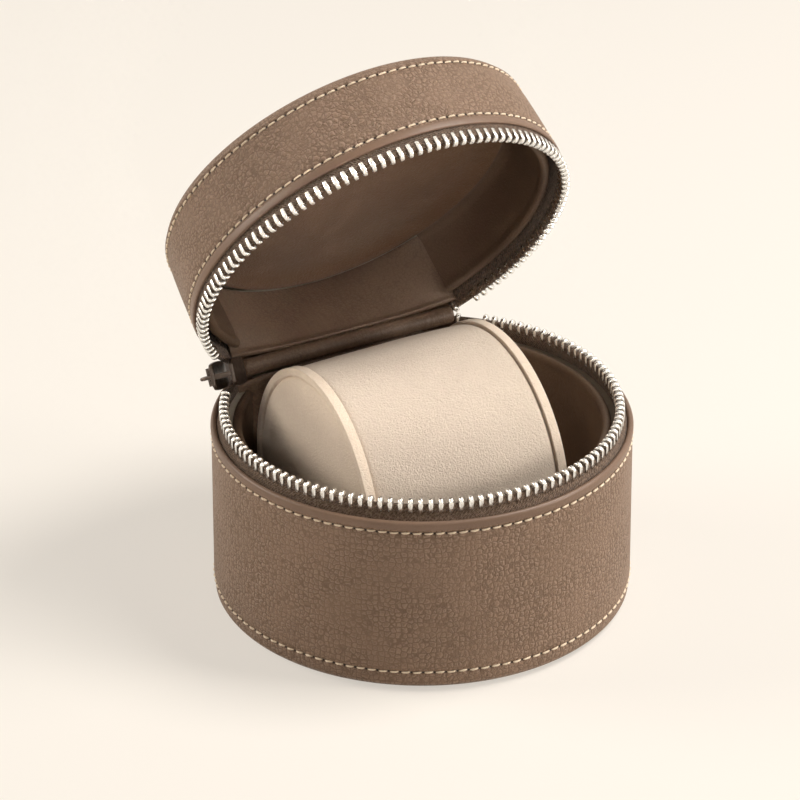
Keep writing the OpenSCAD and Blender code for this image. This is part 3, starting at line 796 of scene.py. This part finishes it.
def suede(name, dark, light, speck, sheen):
    """Suede in two tones of its nap, with flecks of another tone and a soft sheen."""
    made, tree, shader, spot = finish(name, Roughness=0.95, Sheen_Weight=sheen,
                                      Sheen_Roughness=0.45, Specular_IOR_Level=0.12)
    fur = used(tree, nap, Place=spot["Object"])
    colour = mixed(tree, fur["Brushed"], dark, light)
    colour = mixed(tree, times(tree, fur["Fibre"], 0.30), colour, speck)
    joined(tree, shader, colour, fur["Height"], 0.45)
    return made


brown_suede = suede("brown suede", srgb(108, 82, 61), srgb(118, 91, 69), srgb(88, 65, 47), 0.12)
for part, size in CUPS.items():
    corners = [(0, 4.1), (43.3, 4.1), (43.9, 4.6), (43.9, 5.9)] + arc(43.3, 6.3, 0.6, -10, 110, 6)
    corners += [(41.6, 6.55), (39.6, 5.85), (36.0, 5.55)]
    corners += [(r, 5.52) for r in (30, 24, 18, 12, 6, 0)]
    suede_round = turned(part + "_suede_round", cup(part, corners), steps=160)
    settled(suede_round, part, brown_suede, "brown_suede",
            "base_floor_suede" if part == "base" else "lid_suede_disc")


# ---------------------------------------------------------------------------
# The inner hinge. Each cup has its own panel of soft brown leather, from the
# corner of its suede round to the hinge line, where it is folded into a plump
# hem; between the two hems lies the soft leather roll that the lid turns on.
def shaped_sheet(name, across_count, along_count, place_of):
    """A grid whose points are each laid in place, in mm, by where they are across and along."""
    bpy.ops.mesh.primitive_grid_add(x_subdivisions=across_count, y_subdivisions=along_count, size=2)
    sheet = named(name)
    for v in sheet.data.vertices:
        v.co = Vector(place_of(v.co.x, (v.co.y + 1) / 2)) * MM
    return sheet


def welded(sheet):
    """Merges the edges that meet and turns every face outwards."""
    edit_all()
    bpy.ops.mesh.remove_doubles(threshold=0.004 * MM)
    bpy.ops.mesh.select_all(action="SELECT")
    bpy.ops.mesh.fill_holes(sides=0)
    faced_out()


# The darker colour is painted shade in the creases.
soft_hide = leather("soft hinge leather", 1.0, (srgb(112, 90, 72), srgb(128, 105, 86)), 0.3,
                    srgb(62, 48, 37), 0.06, folds=0.05, Roughness=0.5, Specular_IOR_Level=0.4)

# How far each point of the panel lies along it from the hem, as a share, and in front of it.
BACK = -1.15
PROFILE = [(1.0, BACK), (0.5, BACK), (0.10, BACK), (0.06, -1.18)]
PROFILE += [(0.028 - 0.026 * math.sin(math.radians(t)), -0.30 - 0.85 * math.cos(math.radians(t)))
            for t in range(10, 171, 20)]
PROFILE += [(0.055, 0.38), (0.075, 0.16), (0.10, 0.10), (0.14, 0.22), (0.20, 0.42), (0.30, 0.60),
            (0.42, 0.62), (0.56, 0.52), (0.70, 0.36), (0.84, 0.16), (0.94, 0.02), (1.0, -0.05),
            (1.0, BACK)]

HEM_HALF, HEM_UP, PANEL_HALF_TURN, PANEL_R = 33.4, 1.75, 43.4, 45.6
for part, size in CUPS.items():
    rim = size["rim"]

    def laid(s, t, rim=rim, part=part):
        """A point of the panel: s across it from -1 to 1, t round its section."""
        k = t * (len(PROFILE) - 1)
        i = min(int(k), len(PROFILE) - 2)
        share = PROFILE[i][0] + (PROFILE[i + 1][0] - PROFILE[i][0]) * (k - i)
        front = PROFILE[i][1] + (PROFILE[i + 1][1] - PROFILE[i][1]) * (k - i)
        turn = math.radians(PANEL_HALF_TURN * s)
        top = Vector((HEM_HALF * s, HINGE_Y - 0.6 - 2.2 * abs(s) ** 3, rim + HEM_UP))
        low = Vector((PANEL_R * math.sin(turn), PANEL_R * math.cos(turn) - 0.3, 6.2))
        out = Vector((0, -1, 0))
        where = top.lerp(low, share)
        gather = math.exp(-share * 9)
        ripple = noise.noise(Vector((where.x * 0.42, share * 5, 3.1)))
        slow_ripple = noise.noise(Vector((where.x * 0.09, share * 2.2, 7.7)))
        edge = 1 - max(0, abs(s) - 0.9) * 10 * 0.75
        where += out * ((front - BACK) * edge + BACK + ripple * 0.20 * gather + slow_ripple * 0.35
                        * (1 - share) * min(1, share * 12) * edge)
        where.z += ripple * 0.25 * gather - 0.9 * gather * max(0, abs(s) - 0.8) * 2
        return where.x, where.y, TOTAL_H - where.z if part == "lid" else where.z

    panel = shaped_sheet(part + "_hinge_lining", 96, 3 * (len(PROFILE) - 1), laid)
    welded(panel)
    settled(panel, part, soft_hide, "hinge_leather", part + "_hinge_panel", smooth=60)


def sliced(facing, places):
    """Cuts the piece being edited across, at each place in mm along the way the cut faces."""
    for place in places:
        bpy.ops.mesh.select_all(action="SELECT")
        bpy.ops.mesh.bisect(plane_co=[way * place * MM for way in facing], plane_no=facing)


ROLL_RADIUS, ROLL_HALF, ROLL_WITHIN, ROLL_SLICE = 2.4, 31.5, 50.1, 0.69
bpy.ops.mesh.primitive_cylinder_add(vertices=24, radius=ROLL_RADIUS * MM,
                                    depth=2 * ROLL_HALF * MM,
                                    location=(0, HINGE_Y * MM, HINGE_Z * MM),
                                    rotation=(0, math.radians(90), 0))
roll = named("hinge_roll")
bpy.ops.object.transform_apply()
bpy.ops.object.mode_set(mode="EDIT")
sliced((1, 0, 0), [k * ROLL_SLICE for k in range(-45, 46)])
bpy.ops.object.mode_set(mode="OBJECT")
for v in roll.data.vertices:
    x, y, z = v.co.x / MM, v.co.y / MM - HINGE_Y, v.co.z / MM - HINGE_Z
    swell = 0.95 + 0.05 * noise.noise(Vector((x * 0.9, math.atan2(z, y) * 0.6, 1.0)))
    swell *= math.sqrt(max(0.05, 1 - (max(0, abs(x) - 30.3) / 1.3) ** 2))
    y = min(y * swell, math.sqrt(ROLL_WITHIN ** 2 - x ** 2) - HINGE_Y)
    v.co.y, v.co.z = (HINGE_Y + y) * MM, (HINGE_Z + z * swell) * MM
settled(roll, "hinge_fold", soft_hide, "hinge_leather", "hinge_fold", smooth=60)


# ---------------------------------------------------------------------------
# The outer hinge. One soft piece of the case's leather, sewn in behind both
# walls where the zip leaves off, folded inwards between them and creased at the
# hinge line, where the real one bends with the lid; here it is drawn fixed, as it lies open.
COLLAR_R, COLLAR_FOOT, COLLAR_DEEP, COLLAR_THICK = 50.72, 42.7, 3.1, 0.9
RISE, UNDER_SLOPE = 0.35, 0.62


def collar_at(s, t):
    """s across the back from -1 to 1, t from the base's wall over the crease to the lid's."""
    lid_side = t > 0.5
    along = (1 - t if lid_side else t) * 2
    turn = math.radians(ZIP_HALF * s)
    x, y = COLLAR_R * math.sin(turn), COLLAR_R * math.cos(turn)
    slope = math.tan(math.radians(FOLD_SLOPE))
    under = UNDER_SLOPE / math.cos(math.radians(FOLD_SLOPE))
    inner = min(y, HINGE_Y + COLLAR_DEEP)
    edge_z = HINGE_Z - slope * (y - HINGE_Y) - under
    if along < RISE:
        z = COLLAR_FOOT + (edge_z - COLLAR_FOOT) * along / RISE
    else:
        share = min(1, (along - RISE) / 0.55)
        y = y + (inner - y) * share
        z = HINGE_Z - slope * (y - HINGE_Y) - under
        if along > 0.90:
            z += (HINGE_Z - 0.45 - z) * (along - 0.90) / 0.10 * 0.5
    if not lid_side:
        return x, y, z
    z = 2 * HINGE_Z - z
    angle = -math.radians(LID_OPEN)
    dy, dz = y - HINGE_Y, z - HINGE_Z
    return (x, HINGE_Y + dy * math.cos(angle) - dz * math.sin(angle),
            HINGE_Z + dy * math.sin(angle) + dz * math.cos(angle))


collar = shaped_sheet("outer_hinge", 72, 80, collar_at)
edit_all()
bpy.ops.mesh.remove_doubles(threshold=SPECK * MM)
bpy.ops.object.mode_set(mode="OBJECT")
hide = collar.modifiers.new("leather", "SOLIDIFY")
hide.thickness, hide.offset, hide.use_even_offset = COLLAR_THICK * MM, 0, False
bpy.ops.object.modifier_apply(modifier=hide.name)
bpy.ops.object.mode_set(mode="EDIT")
faced_out()
collar.data.materials.append(binding)
bpy.ops.object.shade_smooth_by_angle(angle=math.radians(50))
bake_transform(collar)
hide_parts("base_hinge_collar", "lid_hinge_collar")


# ---------------------------------------------------------------------------
# The slider and its pull. Brown lacquered zinc: two plates joined by a wedge
# ride on the teeth, a wire bail stands on the outer plate, and a leather tab
# hangs from it on a flat wire link. Parked beside the hinge.
PARKED, PLATE_HALF_TURN, PLATE_HALF = 47.0, 5.6, 3.7
lacquer, tree, shader, spot = finish("brown lacquered zinc", Metallic=0.6, Roughness=0.34,
                                     Coat_Weight=0.3)
cast = mottle(tree, spot["Object"], 900.0, Detail=3.0)
worn = mottle(tree, spot["Object"], 260.0, Detail=4.0)
colour = mixed(tree, ramp(tree, worn, 0.55, 0.72), srgb(74, 60, 50), srgb(112, 94, 80))
joined(tree, shader, colour, cast, 0.02, ramp(tree, cast, 0.3, 0.7, 0.28, 0.42))


def parked(piece):
    """Turns a piece drawn on the right of the ring, midway between the rims, to where it is
    parked beside the hinge."""
    chosen(piece)
    edit_all()
    bpy.ops.transform.translate(value=(0, 0, HINGE_Z * MM))
    swung(90 + PARKED)
    bpy.ops.object.mode_set(mode="OBJECT")


def curved_block(name, r_from, r_to, half_turn, half_high, steps):
    """A block that follows the zip's ring, centred on the right."""
    made = outline(name, [(r_from, -half_high), (r_to, -half_high), (r_to, half_high),
                          (r_from, half_high), (r_from, -half_high)])
    swung(half_turn)
    bpy.ops.mesh.spin(steps=steps, angle=math.radians(2 * half_turn), center=(0, 0, 0),
                      axis=(0, 0, 1))
    bpy.ops.mesh.select_all(action="SELECT")
    bpy.ops.mesh.fill_holes(sides=0)
    faced_out()
    return made


PLATES = (("inner plate", 48.0, 49.1), ("outer plate", 53.4, 54.5))
plates = []
for name, r_from, r_to in PLATES:
    plate = curved_block(name, r_from, r_to, PLATE_HALF_TURN, PLATE_HALF, 10)
    for v in plate.data.vertices:
        angle = math.degrees(math.atan2(v.co.y, v.co.x))
        taper = 0.80 + 0.20 * max(0, math.cos(math.radians(angle / PLATE_HALF_TURN * 90))) ** 0.5
        v.co.z *= taper if abs(angle) < PLATE_HALF_TURN - 0.01 else 0.62
    rounded(plate, 0.32)
    plates.append(plate)
WEDGE_HALF_TURN, WEDGE_HALF, WEDGE_SHIFT = 0.9, 0.72, 4.2
wedge = curved_block("wedge", 48.6, 54.0, WEDGE_HALF_TURN, WEDGE_HALF, 3)
for v in wedge.data.vertices:
    v.co.y += WEDGE_SHIFT * MM
rounded(wedge, 0.2, 2)
chosen(*plates, wedge)
bpy.ops.object.join()
slider = named("zip_slider")
parked(slider)
settled(slider, "slider", lacquer, "slider_metal", "slider_body")


def wire(name, path, radius):
    """A bent wire through a path of points in mm, closed at both ends."""
    curve = bpy.data.curves.new(name, "CURVE")
    curve.dimensions, curve.bevel_depth, curve.bevel_resolution = "3D", radius * MM, 3
    curve.use_fill_caps = True
    spline = curve.splines.new("POLY")
    spline.points.add(len(path) - 1)
    for point, where in zip(spline.points, path):
        point.co = (*(Vector(where) * MM), 1)
    made = bpy.data.objects.new(name, curve)
    bpy.context.scene.collection.objects.link(made)
    chosen(made)
    bpy.ops.object.convert(target="MESH")
    return bpy.context.object


BAIL_FOOT, BAIL_BEND_R, BAIL_HALF, BEND = 54.0, 57.0, 1.65, 0.8
legs = [(BAIL_FOOT, -BAIL_HALF - BEND)] + arc(BAIL_BEND_R, -BAIL_HALF, BEND, 270, 360, 6)
legs += arc(BAIL_BEND_R, BAIL_HALF, BEND, 0, 90, 6) + [(BAIL_FOOT, BAIL_HALF + BEND)]
bail = wire("zip_bail", [(x, y, 0) for x, y in legs], 0.5)
parked(bail)
settled(bail, "slider", lacquer, "slider_metal", "slider_bail", smooth=50)

PIN_R, LINK_HALF, LINK_LONG, BAR_AT = 56.35, 1.95, 6.4, 4.95
links = [wire(f"pull {name}", [(PIN_R, y_from, z_from), (PIN_R, y_to, z_to)], radius)
         for name, y_from, y_to, z_from, z_to, radius in (
             ("upper wire", 0, -LINK_LONG, LINK_HALF, LINK_HALF, 0.45),
             ("lower wire", 0, -LINK_LONG, -LINK_HALF, -LINK_HALF, 0.45),
             ("pin", 0, 0, -2.35, 2.35, 0.5),
             ("bar", -BAR_AT, -BAR_AT, -1.9, 1.9, 0.45))]
chosen(*links)
bpy.ops.object.join()
link = named("pull_wire_link")
parked(link)
settled(link, "pull", lacquer, "slider_metal", "pull_link", smooth=50)

TAB_FROM, TAB_LONG, TAB_HALF, TAB_THICK, TAB_SLICE = 5.35, 17.0, 3.0, 2.0, 1.42
bpy.ops.mesh.primitive_cube_add(size=1)
tab = named("pull_leather_tab")
bpy.ops.object.mode_set(mode="EDIT")
bpy.ops.transform.resize(value=(TAB_THICK * MM, TAB_LONG * MM, 2 * TAB_HALF * MM))
bpy.ops.transform.translate(value=(PIN_R * MM, (-TAB_FROM - TAB_LONG / 2) * MM, 0))
sliced((0, 1, 0), [-TAB_FROM - TAB_LONG + k * TAB_SLICE for k in range(1, 12)])
sliced((0, 0, 1), [-1.8, -0.6, 0.6, 1.8])
bpy.ops.object.mode_set(mode="OBJECT")
round_from = -TAB_FROM - TAB_LONG + TAB_HALF
for v in tab.data.vertices:
    y, z = v.co.y / MM, v.co.z / MM
    past = round_from - y
    if past > 0:
        v.co.y = (round_from - past * math.sqrt(max(0.0, 1 - (z / (TAB_HALF + 0.0001)) ** 2))) * MM
    v.co.z *= 1 - 0.06 * math.exp(-((y + 6.2) / 1.2) ** 2)
rounded(tab, 0.42, 3)
# The darker colour is painted shade in the creases.
tab_leather = leather("pull tab leather", 1.3, (srgb(126, 102, 84), srgb(140, 116, 97)), 0.35,
                      srgb(84, 66, 52), 0.08, Roughness=0.48)
parked(tab)
settled(tab, "pull", tab_leather, "pebbled_leather", "pull_tab", smooth=50)


# ---------------------------------------------------------------------------
# The watch pillow. A foam drum with a flat foot, wrapped in one piece of cream
# suede, and closed at each end by a suede-covered round with a rolled lip and a
# sewn line just inside it. It lifts out of the case.
PILLOW_Z, PILLOW_FOOT, PILLOW_X = 33.7, 5.7, -3.6
CAP_R, CAP_THICK, SADDLE_R, SADDLE_HALF, FOAM_R = 34.6, 2.4, 33.95, 24.8, 32.6
SADDLE_EDGE, CROWN, UNEVEN = 0.9, 0.25, 0.14
cream = suede("cream suede", srgb(224, 208, 190), srgb(228, 212, 194), srgb(205, 187, 167), 0.15)
# Painted light: the end rounds get a brighter copy of the cream suede, standing in for light on
# their faces.
brightened_cap_cream = suede("cream end suede painted brighter", srgb(244, 226, 205), srgb(248, 230, 209), srgb(226, 206, 183),
                  0.15)


def drum(name, radius, x_from, x_to):
    """A drum lying along X with a flat foot."""
    bpy.ops.mesh.primitive_cylinder_add(vertices=160, radius=radius * MM,
                                        depth=(x_to - x_from) * MM,
                                        location=((x_from + x_to) / 2 * MM, 0, PILLOW_Z * MM),
                                        rotation=(0, math.radians(90), 0))
    made = named(name)
    bpy.ops.object.transform_apply()
    bpy.ops.object.mode_set(mode="EDIT")
    bpy.ops.mesh.bisect(plane_co=(0, 0, PILLOW_FOOT * MM), plane_no=(0, 0, 1), use_fill=True,
                        clear_inner=True)
    return made


def drawn_in(piece):
    """Makes the left end of the pillow a little narrower than its right, its top set back."""
    narrower, set_back, full_over = 0.11, 1.5, 32.0
    for v in piece.data.vertices:
        x, y, z = v.co / MM
        share = min(1.0, max(0.0, (4.0 - x) / full_over)) ** 1.3
        up = (z - PILLOW_FOOT) / (PILLOW_Z + CAP_R - PILLOW_FOOT)
        v.co.y = (y * (1 - narrower * share) + set_back * share * up) * MM
        v.co.x -= 0.6 * max(0.0, (-x - 24.0) / 6.8) * MM


def end_selected(piece, x):
    """Selects the face that closes the drum at x mm."""
    mesh = bmesh.from_edit_mesh(piece.data)
    bpy.ops.mesh.select_all(action="DESELECT")
    for face in mesh.faces:
        at_x = abs(face.calc_center_median().x / MM - x) < 0.05
        face.select = at_x and abs(face.normal.x) > 0.9
    mesh.select_flush_mode()
    bmesh.update_edit_mesh(piece.data)


left, right = PILLOW_X - SADDLE_HALF, PILLOW_X + SADDLE_HALF
saddle = drum("pillow_saddle", SADDLE_R, left, right)
bpy.ops.object.mode_set(mode="OBJECT")
rounded(saddle, 1.2, 4, 60)
bpy.ops.object.mode_set(mode="EDIT")
sliced((1, 0, 0), [left + SADDLE_EDGE + k * (right - left - 2 * SADDLE_EDGE) / 22
                   for k in range(1, 22)])
bpy.ops.object.mode_set(mode="OBJECT")
for v in saddle.data.vertices:
    x, y, z = v.co.x / MM - PILLOW_X, v.co.y / MM, v.co.z / MM
    far = math.hypot(y, z - PILLOW_Z)
    if far > 25 and z > PILLOW_FOOT + 1:
        along = x / SADDLE_HALF
        bumps = noise.noise(Vector((x * 0.07, y * 0.07, z * 0.07)))
        full = CROWN * (1 - along ** 2) + UNEVEN * bumps
        v.co.y *= 1 + full / far
        v.co.z = (PILLOW_Z + (z - PILLOW_Z) * (1 + full / far)) * MM
drawn_in(saddle)
settled(saddle, "pillow", cream, "cream_suede", "pillow_wrap")

for side, inside, out in (("left", left, -1), ("right", right, 1)):
    outside = inside + out * CAP_THICK
    cap = drum(f"pillow_{side}_round", CAP_R, min(inside, outside), max(inside, outside))
    end_selected(cap, outside)
    reach = CAP_R
    # From the edge to the middle: each ring's radius, and how far it stands out from the last.
    for radius, push in ((32.7, 0.0), (32.55, -0.1), (32.35, -0.7), (32.1, 0.0), (31.9, 0.45),
                         (31.2, 0.12), (27.0, 0.16), (18.0, 0.14), (9.0, 0.05)):
        bpy.ops.mesh.inset(thickness=0)
        bpy.ops.transform.resize(value=(1, radius / reach, radius / reach),
                                 center_override=(0, 0, PILLOW_Z * MM))
        bpy.ops.transform.translate(value=(out * push * MM, 0, 0))
        reach = radius
    bpy.ops.object.mode_set(mode="OBJECT")
    rounded(cap, 0.9, 5, 60)
    drawn_in(cap)
    settled(cap, "pillow", brightened_cap_cream, "cap_suede", f"pillow_{side}_end", smooth=60)


# ---------------------------------------------------------------------------
# What the leather hides. Grey board drums and rounds stiffen the case, and a
# block of open foam fills the pillow.
board, tree, shader, spot = finish("grey board", Roughness=0.95)
fibre = mottle(tree, spot["Object"], 700.0, Detail=5.0, Distortion=1.2)
colour = mixed(tree, fibre, srgb(160, 150, 134), srgb(182, 172, 155))
joined(tree, shader, colour, fibre, 0.08)
foam, tree, shader, spot = finish("open foam", Roughness=1.0)
cells = node(tree, "ShaderNodeTexVoronoi", {"Vector": spot["Object"], "Scale": 1500.0})
colour = mixed(tree, cells.outputs["Distance"], srgb(206, 200, 184), srgb(236, 230, 216))
joined(tree, shader, colour, cells.outputs["Distance"], 0.2)
for name, corners, solid in (
    ("lid_board_drum", [(48.5, 18.0), (50.3, 18.0), (49.35, 4.1), (47.1, 4.1), (48.5, 12.0),
                        (48.5, 18.0)], "lid_wall_board"),
    ("lid_board_round", [(0, 2.25), (48.0, 2.25), (48.4, 4.05), (0, 4.05)], "lid_top_board"),
):
    settled(turned(name, cup("lid", corners), steps=96), "lid", board, "board", solid)
core = drum("pillow_foam_block", FOAM_R, left + 1.0, right - 1.0)
bpy.ops.object.mode_set(mode="OBJECT")
drawn_in(core)
settled(core, "pillow", foam, "foam", "pillow_core")
# These two stay as their solids are, in the board's finish.
for name in ("base_wall_board", "base_floor_board"):
    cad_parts[name].data.materials.clear()
    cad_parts[name].data.materials.append(board)
